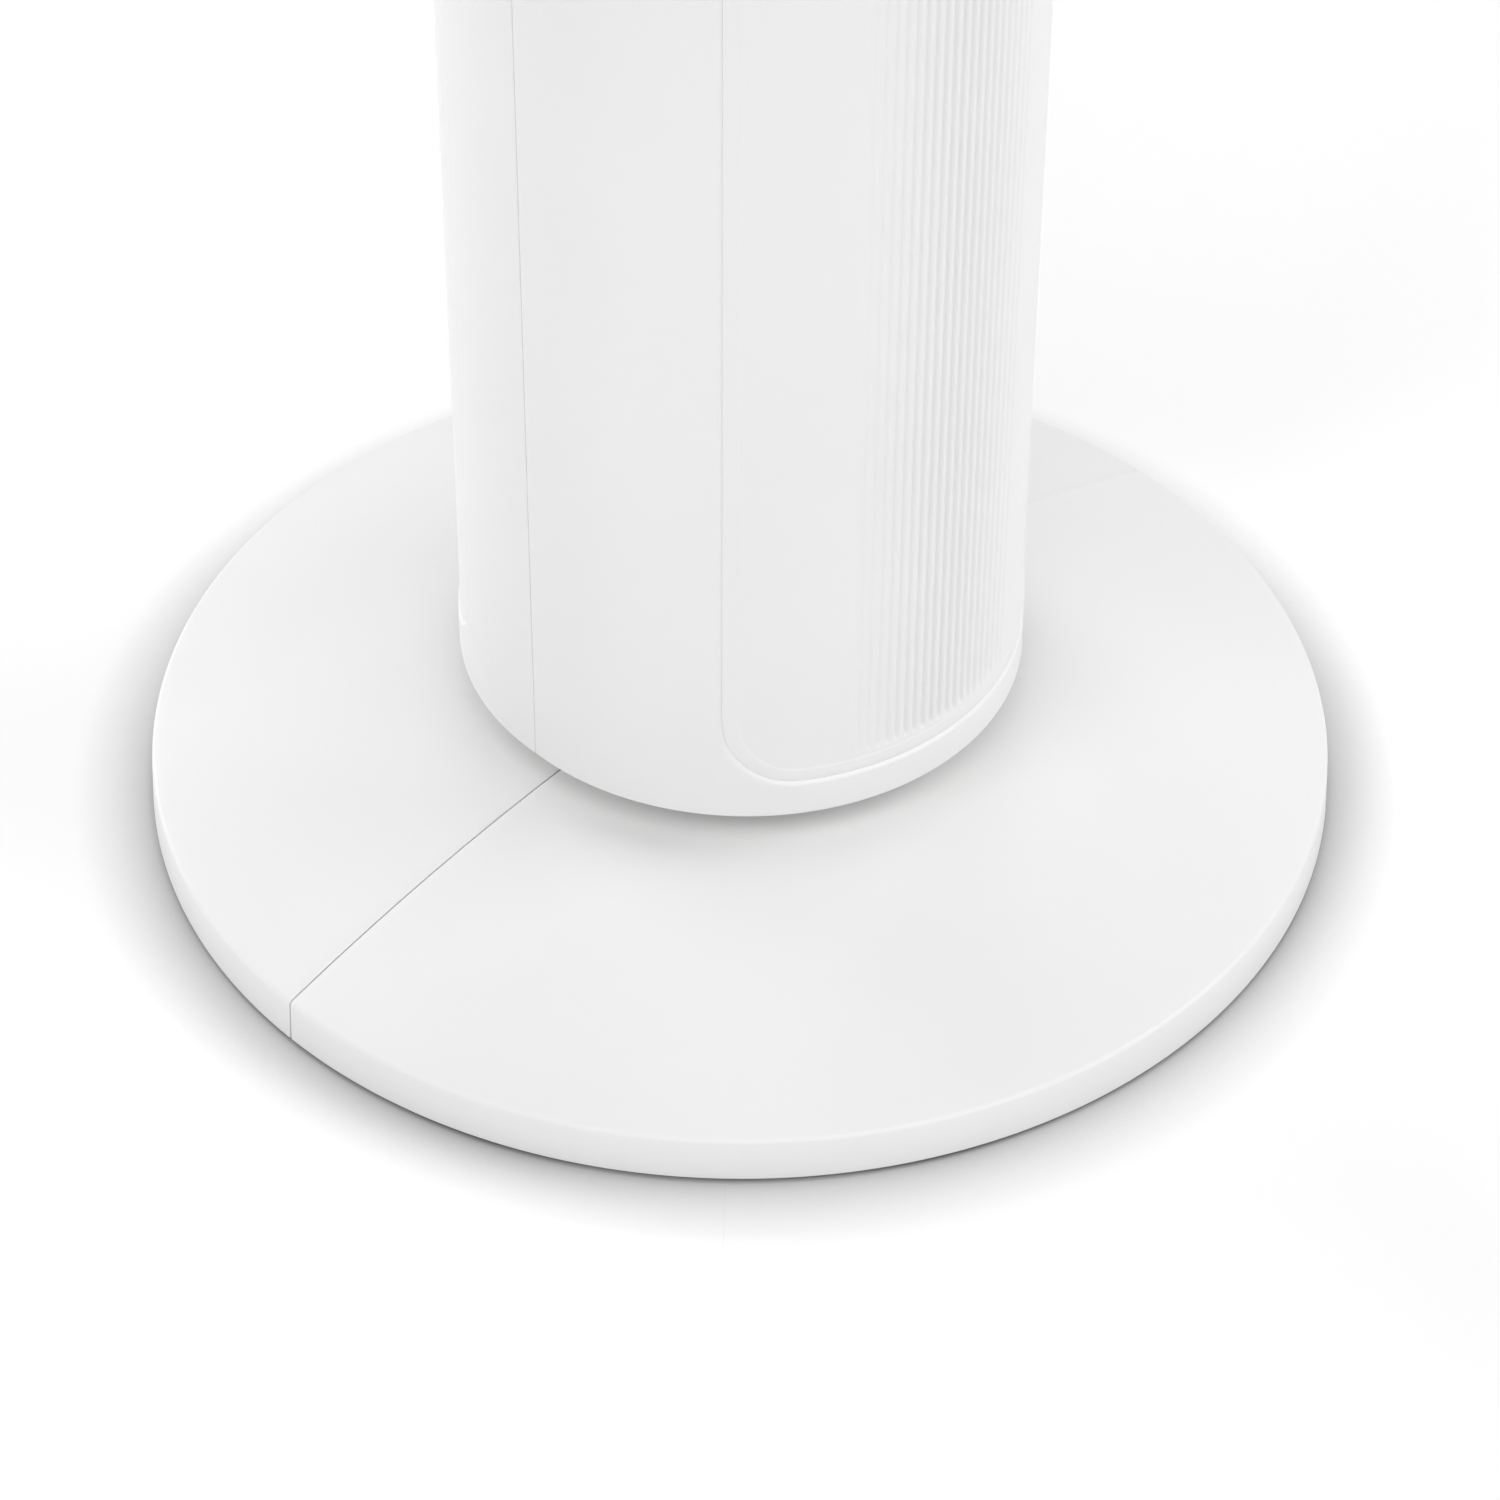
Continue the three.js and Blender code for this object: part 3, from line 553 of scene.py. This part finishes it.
# ------------------------------------------------------------------ panels
def panel(name, sign, w, drop, slots, slot_half, depth_at, node, bevel=0.0, step=1.9, extra_us=()):
    """A panel that fills a window. slots: centres as arc length; depth_at(u, z) is extra depth."""
    GAPV, INSET, THICK = 0.015, 4.6, 2.6
    z0, z1, rc = WIN_Z0 + GAPV, WIN_Z1 - GAPV, 20.0 - GAPV
    W = w - GAPV
    fw, fz0, fz1, frc = W - INSET, z0 + INSET, z1 - INSET, rc - INSET
    us = set()
    for u in corner_us(fw, frc):
        us.update((key(u), key(-u)))
    slot_cols = []
    narc = 5
    for c in slots:
        for k in range(-narc, narc + 1):
            slot_cols.append(key(c + slot_half * math.sin(math.pi / 2 * k / narc)))
        us.update(slot_cols)
    us.update(key(x) for x in extra_us)
    fixed = sorted(us)
    for u in fill(-fw, fw, step):
        if all(abs(u - s) > step * 0.3 for s in fixed):
            us.add(key(u))
    us = uniq([u for u in us if abs(u) <= fw + 1e-6], 2e-3)
    zc0, zc1 = fz0 + frc + 2, fz1 - frc - 2
    ts = [0, 0.012, 0.024, 0.038, 0.052, 0.068, 0.085, 0.13, 0.22, 0.4, 0.7, 1.0]
    zmid = [90.0, 130.0, 200.0, 280.0]

    def slot_limits(u, a, c):
        for s in slots:
            d = abs(u - s)
            if d <= slot_half + 1e-6:
                e = slot_half - math.sqrt(max(0.0, slot_half ** 2 - d * d))
                return a + e, c - e
        return a + slot_half, c - slot_half

    def rows_at(u):
        lo = lo_of(u, fw, fz0, frc)
        hi = fz0 + fz1 - lo
        out = [lo + t * (zc0 - lo) for t in ts] + list(zmid)
        for a, c in SLOT_Z:
            lim = slot_limits(u, a, c)
            out += [a - 2.8, a - 2.2, lim[0], lim[1], c + 2.2, c + 2.8]
        out += [hi - t * (hi - zc1) for t in reversed(ts)]
        return out

    first = len(ts) + len(zmid)
    open_rows = (first + 2, first + 8)

    def mask(i, j):
        mid = (us[i] + us[i + 1]) / 2
        if j in open_rows:
            return not any(abs(mid - s) < slot_half for s in slots)
        return True

    b = Build()
    out_rows = [[on_col(u, z, drop + depth_at(u, z), sign) for z in rows_at(u)] for u in us]
    in_rows = [[on_col(u, z, drop + THICK, sign) for z in rows_at(u)] for u in us]
    b.grid(out_rows, mask=mask)
    b.grid(in_rows, mask=mask)
    # slot walls
    nu = len(us)
    for i in range(nu - 1):
        for j in open_rows:
            if not mask(i, j):
                for k in (j, j + 1):
                    b.grid([[out_rows[i][k], in_rows[i][k]], [out_rows[i + 1][k], in_rows[i + 1][k]]])
                if mask(i - 1, j):
                    b.grid([[out_rows[i][j], in_rows[i][j]], [out_rows[i][j + 1], in_rows[i][j + 1]]])
                if mask(i + 1, j):
                    b.grid([[out_rows[i + 1][j], in_rows[i + 1][j]], [out_rows[i + 1][j + 1], in_rows[i + 1][j + 1]]])
    loop = contour(fw, fz0, fz1, frc, us, rows_at(fw))
    e = 0.1
    step_in = 0.16  # the field lies this much under the border
    prof = [(0.0, step_in), (0.35, step_in), (0.6, step_in * 0.8), (0.85, step_in * 0.2), (1.1, 0.0), (INSET - 1.3, 0.0)]
    prof += [(INSET - 1.3 + 1.3 * t, 0.18 * t ** 1.4) for t in (0.15, 0.35, 0.55, 0.75, 0.9, 0.98)]
    prof += [(INSET, 0.22), (INSET, 0.9), (INSET, THICK - 0.1), (INSET - 0.1, THICK), (0.0, THICK)]
    b.grid([[on_col(u + nu_ * d, z + nz_ * d, drop + h, sign) for d, h in prof] for u, z, nu_, nz_ in loop], close_u=True)
    # flange behind the shell
    fl = contour(w + 4, WIN_Z0 - 4, WIN_Z1 + 4, 24.0, [u for u in us if abs(u) < w - 20], [])
    flange = [(0, 2.95), (0, 5.0), (-6.5, 5.0), (-6.5, 2.95)]
    b.grid([[on_col(u + nu_ * d, z + nz_ * d, h, sign) for d, h in flange] for u, z, nu_, nz_ in fl], close_u=True, close_v=True)
    return b.make(name, "column", "white_panel", replaces=[node], smooth=38)


DROP = 0.45
pitch_u = COL_R * math.radians(FLUTE_PITCH)
fade_u = COL_R * math.radians(22.6)


def flute(u, z):
    base = 0.16
    if abs(u) >= FLUTES / 2 * pitch_u:
        return base
    amp = 0.22 + 0.55 * max(0.0, math.cos(math.pi / 2 * u / fade_u)) ** 1.2
    wave = 0.5 + 0.5 * math.cos(2 * math.pi * ((u / pitch_u) - 0.5))
    ramp = smoothstep(WIN_Z0 + 4.7, WIN_Z0 + 7.0, z) * (1 - smoothstep(WIN_Z1 - 7.0, WIN_Z1 - 4.7, z))
    return base + amp * wave ** 1.3 * ramp


groove = [(k - (FLUTES - 1) / 2) * pitch_u for k in range(FLUTES)]
panel(
    "outlet_panel_skin", -1, front_w, DROP, groove, 0.72, flute, "outlet_panel",
    extra_us=[g + pitch_u * q for g in groove for q in (-0.5, -0.41, -0.33, 0.33, 0.41, 0.5)],
)
inlet = [(k - (INLETS - 1) / 2) * COL_R * math.radians(INLET_PITCH) for k in range(INLETS)]


def inlet_depth(u, z):
    """The slats are slightly crowned: the surface rolls in towards each slot."""
    near = min(abs(u - s) for s in inlet)
    in_z = any(a - 1.5 < z < c + 1.5 for a, c in SLOT_Z)
    return 0.16 + (0.55 * (1 - smoothstep(2.1, 3.0, near)) if in_z else 0.0)


panel(
    "inlet_panel_skin", 1, rear_w, DROP, inlet, 2.1, inlet_depth, "inlet_grille",
    extra_us=[g + s * q for g in inlet for s in (-1, 1) for q in (2.35, 2.65, 3.0)],
)
# fine guard bars behind the inlet slots
b = Build()
half_u = abs(inlet[0]) + 3.2
bar_us = fill(-half_u, half_u, 3.0)
for a, c in SLOT_Z:
    z = a + 5.0
    while z < c - 3:
        prof = [(3.4, -0.5), (3.25, -0.35), (3.25, 0.35), (3.4, 0.5), (4.6, 0.5), (4.6, -0.5)]
        b.grid([[on_col(u, z + dz, h, 1) for h, dz in prof] for u in bar_us], close_v=True)
        b.poly([on_col(bar_us[0], z + dz, h, 1) for h, dz in prof])
        b.poly([on_col(bar_us[-1], z + dz, h, 1) for h, dz in reversed(prof)])
        z += 8.0
b.make("inlet_guard_bars", "column", "white_panel")

# ------------------------------------------------------------------ hand grip
def grip():
    b = Build()
    ring_out, ring_in = [], []
    N = 10

    def loop(hw, z0, z1, rc):
        pts = []
        for cx, cz, a0 in ((hw - rc, z0 + rc, -90), (hw - rc, z1 - rc, 0), (-hw + rc, z1 - rc, 90), (-hw + rc, z0 + rc, 180)):
            for k in range(N + 1):
                a = math.radians(a0 + 90 * k / N)
                pts.append((cx + rc * math.cos(a), cz + rc * math.sin(a)))
            # the long edges follow the round wall in short steps
            if a0 in (0, 180):
                side, edge_z = (1, z1) if a0 == 0 else (-1, z0)
                for k in range(1, 16):
                    pts.append((side * (hw - rc) * (1 - k / 8), edge_z))
        return pts

    inner = loop(37.6, 987.4, 1012.6, 5.0)
    outer = loop(39.8, 985.2, 1014.8, 7.0)

    def wall_y(x):
        return COL_OFF + math.sqrt(68.6 ** 2 - x * x)

    floor_ring = loop(34.6, 990.4, 1009.6, 2.0)
    rows = []
    for (xi, zi), (xo, zo), (xf, zf) in zip(inner, outer, floor_ring):
        row = [(xf, 43.2, zf)]
        for q in (20, 40, 60, 80, 90):
            s = math.sin(math.radians(q))
            cc = 1 - math.cos(math.radians(q))
            row.append((xf + (xi - xf) * s, 43.2 + 3.0 * cc, zf + (zi - zf) * s))
        row.append((xi, wall_y(xi) - 0.1, zi))
        row.append((xo, wall_y(xo) - 0.1, zo))
        row.append((xo, 44.0, zo))
        row.append((xf, 41.2, zf))
        rows.append(row)
    b.grid(rows, close_u=True)
    b.poly([(x, 43.2, z) for x, z in floor_ring])
    b.poly([(x, 41.2, z) for x, z in reversed(floor_ring)])
    return b.make("grip_pocket", "column", "inner_plastic", replaces=["grip_cup"], smooth=40, mat=M["white_panel"])


grip()

# ------------------------------------------------------------------ top cap and controls
def outline(r, n=72):
    pts = []
    for i in range(n + 1):
        t = math.radians(-90 + 180 * i / n)
        pts.append((r * math.sin(t), -COL_OFF - r * math.cos(t)))
    for i in range(n + 1):
        t = math.radians(90 - 180 * i / n)
        pts.append((r * math.sin(t), COL_OFF + r * math.cos(t)))
    return pts


cap_prof = rounded(
    [
        (64.5, 1036.2, 0.3), (68.5, 1036.2, 0.5), (68.5, 1045.2, 0.0), (71.45, 1045.15, 0.35),
        (71.45, 1061.9, 7.5), (52.1, 1061.9, 1.2), (52.1, 1052.8, 0.2), (64.5, 1052.8, 0.3),
    ],
    10,
)
b = Build()
b.grid([list(col) for col in zip(*[[(x, y, z) for x, y in outline(r)] for r, z in cap_prof])], close_u=True, close_v=True)
b.make("top_ring", "column", "white_shell", replaces=["top_cap"], smooth=35)

KEYS = [("power", -30.0), ("speed", -15.0), ("swing", 0.0), ("timer", 15.0), ("mode", 30.0)]
KEY_Y = 14.0


def plate_with_holes():
    b = Build()
    edge = rounded([(0.0, 1054.0, 0), (51.75, 1054.0, 0.2), (51.75, 1058.0, 0.5), (0.0, 1058.0, 0)], 5)
    prof = [(51.75 - 0.5, 1058.0)] + [(51.25 + 0.5 * math.sin(math.radians(q)), 1057.5 + 0.5 * math.cos(math.radians(q))) for q in (30, 60, 90)] + [(51.75, 1054.0)]
    rows = [[(x, y, z) for x, y in outline(r)] for r, z in prof]
    b.grid(rows, close_v=True)
    b.poly(rows[0])
    b.poly(list(reversed(rows[-1])))
    return b.make("control_plate", "column", "white_panel", replaces=["control_deck"], smooth=35)


deck = plate_with_holes()
tools = [cutter_rod(5.85, (x, KEY_Y, 1050), (x, KEY_Y, 1062), 64) for _, x in KEYS]
bm = bmesh.new()
ring = [bm.verts.new((x / 1000, y / 1000, 1.050)) for x, y in rounded([(-21.85, -25.85, 3.8), (21.85, -25.85, 3.8), (21.85, -10.15, 3.8), (-21.85, -10.15, 3.8)], 10)]
face = bm.faces.new(ring)
ext = bmesh.ops.extrude_face_region(bm, geom=[face])
bmesh.ops.translate(bm, verts=[v for v in ext["geom"] if isinstance(v, bmesh.types.BMVert)], vec=(0, 0, 0.012))
bmesh.ops.recalc_face_normals(bm, faces=bm.faces)
me = bpy.data.meshes.new("tool")
bm.to_mesh(me)
bm.free()
t = bpy.data.objects.new("tool", me)
bpy.context.scene.collection.objects.link(t)
tools.append(t)
cut(deck, tools)
bev = deck.modifiers.new("edge", "BEVEL")
bev.width, bev.segments, bev.limit_method, bev.angle_limit = 0.0003, 3, "ANGLE", math.radians(50)
bev.use_clamp_overlap = True

# display window
b = Build()
lens = rounded([(-21.6, -25.6, 3.6), (21.6, -25.6, 3.6), (21.6, -10.4, 3.6), (-21.6, -10.4, 3.6)], 12)


def inset(pts, d):
    cx, cy = 0.0, -18.0
    out = []
    for x, y in pts:
        sx, sy = 1 - d / 21.6, 1 - d / 7.6
        out.append((cx + (x - cx) * sx, cy + (y - cy) * sy))
    return out


rows = []
for d, z in ((0, 1054.3), (0, 1057.8), (0.06, 1057.98), (0.2, 1058.1), (0.5, 1058.15)):
    rows.append([(x, y, z) for x, y in inset(lens, d)])
b.grid(rows, close_v=True)
b.poly(rows[0])
b.poly(rows[-1])
b.make("display_window", "column", "lens", replaces=["display_lens"], smooth=40)


def arc_strip(cx, cy, r, w, a0, a1, z, n=28):
    """A flat printed ring or part of one, 0.06 mm proud."""
    rows = []
    for i in range(n + 1):
        a = math.radians(a0 + (a1 - a0) * i / n)
        ro, ri = r + w / 2, r - w / 2
        rows.append([
            (cx + ri * math.cos(a), cy + ri * math.sin(a), z), (cx + ro * math.cos(a), cy + ro * math.sin(a), z),
            (cx + ro * math.cos(a), cy + ro * math.sin(a), z + 0.1), (cx + ri * math.cos(a), cy + ri * math.sin(a), z + 0.1),
        ])
    return rows


def bar(x0, y0, x1, y1, w, z):
    d = Vector((x1 - x0, y1 - y0)).normalized()
    nrm = Vector((-d.y, d.x)) * w / 2
    a = [(x0 + nrm.x, y0 + nrm.y), (x1 + nrm.x, y1 + nrm.y), (x1 - nrm.x, y1 - nrm.y), (x0 - nrm.x, y0 - nrm.y)]
    return [[(x, y, z) for x, y in a], [(x, y, z + 0.1) for x, y in a]]


def add_arc(b, rows):
    b.grid(rows, close_v=True)
    b.poly(rows[0])
    b.poly(list(reversed(rows[-1])))


def add_bar(b, rows):
    b.grid(rows, close_v=True)
    b.poly(rows[0])
    b.poly(list(reversed(rows[1])))


for kname, kx in KEYS:
    R = 5.5
    prof = rounded(
        [(0.0, 1051.2, 0), (6.8, 1051.2, 0.3), (6.8, 1053.0, 0.3), (R, 1053.0, 0.2), (R, 1059.6, 0.9), (4.0, 1059.85, 0.0), (2.0, 1059.62, 0), (0.0, 1059.55, 0)],
        6,
    )
    b = Build()
    rows = []
    for i in range(72):
        a = 2 * math.pi * i / 72
        rows.append([(kx + r * math.cos(a), KEY_Y + r * math.sin(a), z) for r, z in prof])
    b.grid(rows, close_u=True)
    b.make(f"{kname}_keycap", f"{kname}_key", "button", replaces=[f"{kname}_button"], smooth=40)
    m = Build()
    Z = 1059.54
    if kname == "power":
        add_arc(m, arc_strip(kx, KEY_Y, 2.0, 0.4, 120, 420, Z))
        add_bar(m, bar(kx, KEY_Y + 0.6, kx, KEY_Y + 2.5, 0.4, Z + 0.02))
    elif kname == "speed":
        for q in (90, 210, 330):
            a = math.radians(q)
            add_arc(m, arc_strip(kx + 1.15 * math.cos(a), KEY_Y + 1.15 * math.sin(a), 0.95, 0.36, q - 100, q + 110, Z, 16))
    elif kname == "swing":
        add_arc(m, arc_strip(kx, KEY_Y - 1.4, 2.6, 0.4, 40, 140, Z))
        for s in (-1, 1):
            x, y = kx + s * 2.0, KEY_Y + 0.25
            add_bar(m, bar(x, y, x - s * 0.15, y + 1.0, 0.36, Z + 0.01))
            add_bar(m, bar(x, y, x - s * 1.0, y + 0.0, 0.36, Z + 0.02))
    elif kname == "timer":
        add_arc(m, arc_strip(kx, KEY_Y, 2.1, 0.38, 0, 359.9, Z, 40))
        add_bar(m, bar(kx, KEY_Y, kx, KEY_Y + 1.3, 0.34, Z + 0.02))
        add_bar(m, bar(kx, KEY_Y, kx + 0.9, KEY_Y, 0.34, Z + 0.01))
    else:
        for dy in (-1.1, 0.0, 1.1):
            add_arc(m, arc_strip(kx - 1.1, KEY_Y + dy - 0.8, 1.2, 0.34, 45, 135, Z, 12))
            add_arc(m, arc_strip(kx + 0.6, KEY_Y + dy + 0.9, 1.2, 0.34, 225, 315, Z, 12))
    m.make(f"{kname}_mark", f"{kname}_key", "button", smooth=30, mat=M["mark"])

# ------------------------------------------------------------------ turntable, seen in the gap under the column
lathe(rounded([(35.0, 39.6, 0.3), (48.0, 39.6, 0.5), (48.0, 45.2, 0.5), (35.0, 45.2, 0.3)], 5), "turning_hub", "column", "inner_plastic", seg=120, replaces=["swivel_hub"])
lathe(rounded([(36.5, 37.3, 0.3), (48.0, 37.3, 0.4), (48.0, 39.3, 0.4), (36.5, 39.3, 0.3)], 5), "slip_washer", "base", "acetal", seg=120, replaces=["thrust_washer"])

# ------------------------------------------------------------------ rubber pads
for i, ang in enumerate((22, 66, 114, 158, 202, 246, 294, 338), 1):
    x, y = 138 * math.cos(math.radians(ang)), 138 * math.sin(math.radians(ang))
    prof = rounded([(0.0, 0.0, 0), (9.0, 0.0, 0.9), (9.0, 3.3, 0.3), (0.0, 3.3, 0)], 6)
    b = Build()
    b.grid([[(x + r * math.cos(2 * math.pi * k / 48), y + r * math.sin(2 * math.pi * k / 48), z) for r, z in prof] for k in range(48)], close_u=True)
    b.make(f"pad_{i}", "base", "rubber", replaces=[f"foot_pad_{i}"], smooth=40)

# ------------------------------------------------------------------ blower wheel
def blower():
    cx, cy, R = 4.0, 6.0, 32.0
    b = Build()
    for z0, z1, ri in ((331, 333.5, 5.0), (932.5, 935, 3.0), (431, 432.4, 26.2), (531, 532.4, 26.2), (632, 633.4, 26.2), (732, 733.4, 26.2), (832, 833.4, 26.2)):
        prof = [(ri, z0), (R, z0), (R, z1), (ri, z1)]
        b.grid([[(cx + r * math.cos(2 * math.pi * k / 90), cy + r * math.sin(2 * math.pi * k / 90), z) for r, z in prof] for k in range(90)], close_u=True, close_v=True)
    for k in range(34):
        a = 2 * math.pi * k / 34
        top, bot = [], []
        for s in range(6):
            t = s / 5
            r = 26.4 + 5.3 * t
            da = -0.16 + 0.30 * t - 0.10 * math.sin(math.pi * t)
            for lst, o in ((top, 0.35), (bot, -0.35)):
                aa = a + da + o / r
                lst.append((cx + r * math.cos(aa), cy + r * math.sin(aa)))
        ringp = top + bot[::-1]
        rows = [[(x, y, z) for x, y in ringp] for z in (332.0, 934.0)]
        b.grid(rows, close_v=True)
        b.poly(rows[0])
        b.poly(list(reversed(rows[1])))
    return b.make("blower_wheel", "impeller", "inner_plastic", replaces=["crossflow_wheel"], smooth=35)


blower()

# ------------------------------------------------------------------ stage, light, camera
floor_mat = bpy.data.materials.new("studio_floor")
nt, p = nodes_of(floor_mat)
# painted contact shadow: the floor's colour darkens softly towards black within 22 mm of whatever stands on it
ao = nt.nodes.new("ShaderNodeAmbientOcclusion")
ao.samples = 12
ao.inputs["Distance"].default_value = 0.022
mix = nt.nodes.new("ShaderNodeMix")
mix.data_type = "RGBA"
mix.inputs["A"].default_value = (0.0, 0.0, 0.0, 1)
mix.inputs["B"].default_value = (0.93, 0.93, 0.93, 1)
# painted shadow: the AO value blends the floor colour towards black
nt.links.new(ao.outputs["AO"], mix.inputs["Factor"])
nt.links.new(mix.outputs["Result"], p.inputs["Base Color"])
p.inputs["Roughness"].default_value = 0.7
p.inputs["Specular IOR Level"].default_value = 0.2
me = bpy.data.meshes.new("studio_floor")
S = 30.0
me.from_pydata([(-S, -S, 0), (S, -S, 0), (S, S, 0), (-S, S, 0)], [], [(0, 1, 2, 3)])
me.materials.append(floor_mat)
floor = bpy.data.objects.new("studio_floor", me)
bpy.context.scene.collection.objects.link(floor)

world = bpy.data.worlds.new("studio")
bpy.context.scene.world = world
world.use_nodes = True
bg = world.node_tree.nodes["Background"]
bg.inputs["Color"].default_value = (1, 1, 1, 1)
bg.inputs["Strength"].default_value = 0.10

AZ = math.radians(-43.845)
EL = math.radians(41.586)
DIST = 1.337126
PITCH = math.radians(41.5269)
YAW = math.radians(0.15067)
ROLL = math.radians(0.33301)
turn = Matrix.Rotation(AZ, 3, "Z")
eye = turn @ Vector((0, -DIST * math.cos(EL), DIST * math.sin(EL))) + Vector((0, 0, 0.0015))
fwd = Vector((math.sin(YAW) * math.cos(PITCH), math.cos(YAW) * math.cos(PITCH), -math.sin(PITCH)))
right = fwd.cross(Vector((0, 0, 1))).normalized()
up = right.cross(fwd)
r2 = right * math.cos(ROLL) + up * math.sin(ROLL)
u2 = -right * math.sin(ROLL) + up * math.cos(ROLL)
fwd, r2, u2 = turn @ fwd, turn @ r2, turn @ u2
cam_data = bpy.data.cameras.new("camera")
cam_data.sensor_width = 36.0
cam_data.lens = 5043.9 / 1500.0 * 36.0
cam_data.clip_start, cam_data.clip_end = 0.05, 100.0
cam = bpy.data.objects.new("camera", cam_data)
bpy.context.scene.collection.objects.link(cam)
cam.matrix_world = Matrix((
    (r2.x, u2.x, -fwd.x, eye.x),
    (r2.y, u2.y, -fwd.y, eye.y),
    (r2.z, u2.z, -fwd.z, eye.z),
    (0, 0, 0, 1),
))
bpy.context.scene.camera = cam


def soft_light(name, azimuth, elevation, angle, strength):
    """A broad, distant softbox: azimuth and elevation are where the light comes from."""
    data = bpy.data.lights.new(name, "SUN")
    data.energy = strength
    data.angle = math.radians(angle)
    ob = bpy.data.objects.new(name, data)
    bpy.context.scene.collection.objects.link(ob)
    a, e = math.radians(azimuth), math.radians(elevation)
    d = Vector((math.sin(a) * math.cos(e), -math.cos(a) * math.cos(e), math.sin(e)))
    ob.location = d * 6
    ob.rotation_mode = "QUATERNION"
    ob.rotation_quaternion = d.to_track_quat("Z", "Y")
    return ob


LIGHTS = [
    (-135, 10, 1.5),
    (-135, 32, 0.42),
    (180, 10, 0.17),
    (180, 32, 0.32),
    (-45, 32, 1.04),
    (-90, 32, 0.15),
    (0, 55, 1.02),
    (135, 10, 0.4),
    (135, 32, 0.24),
    (45, 32, 0.55),
    (90, 32, 1.18),
]
for az, el, strength in LIGHTS:
    soft_light(f"soft_{az}_{el}", -43.8 + az, el, 34, strength)

bpy.context.scene.view_settings.view_transform = "Standard"
bpy.context.scene.view_settings.look = "None"
bpy.context.scene.view_settings.exposure = 0.0
bpy.context.scene.view_settings.gamma = 1.0
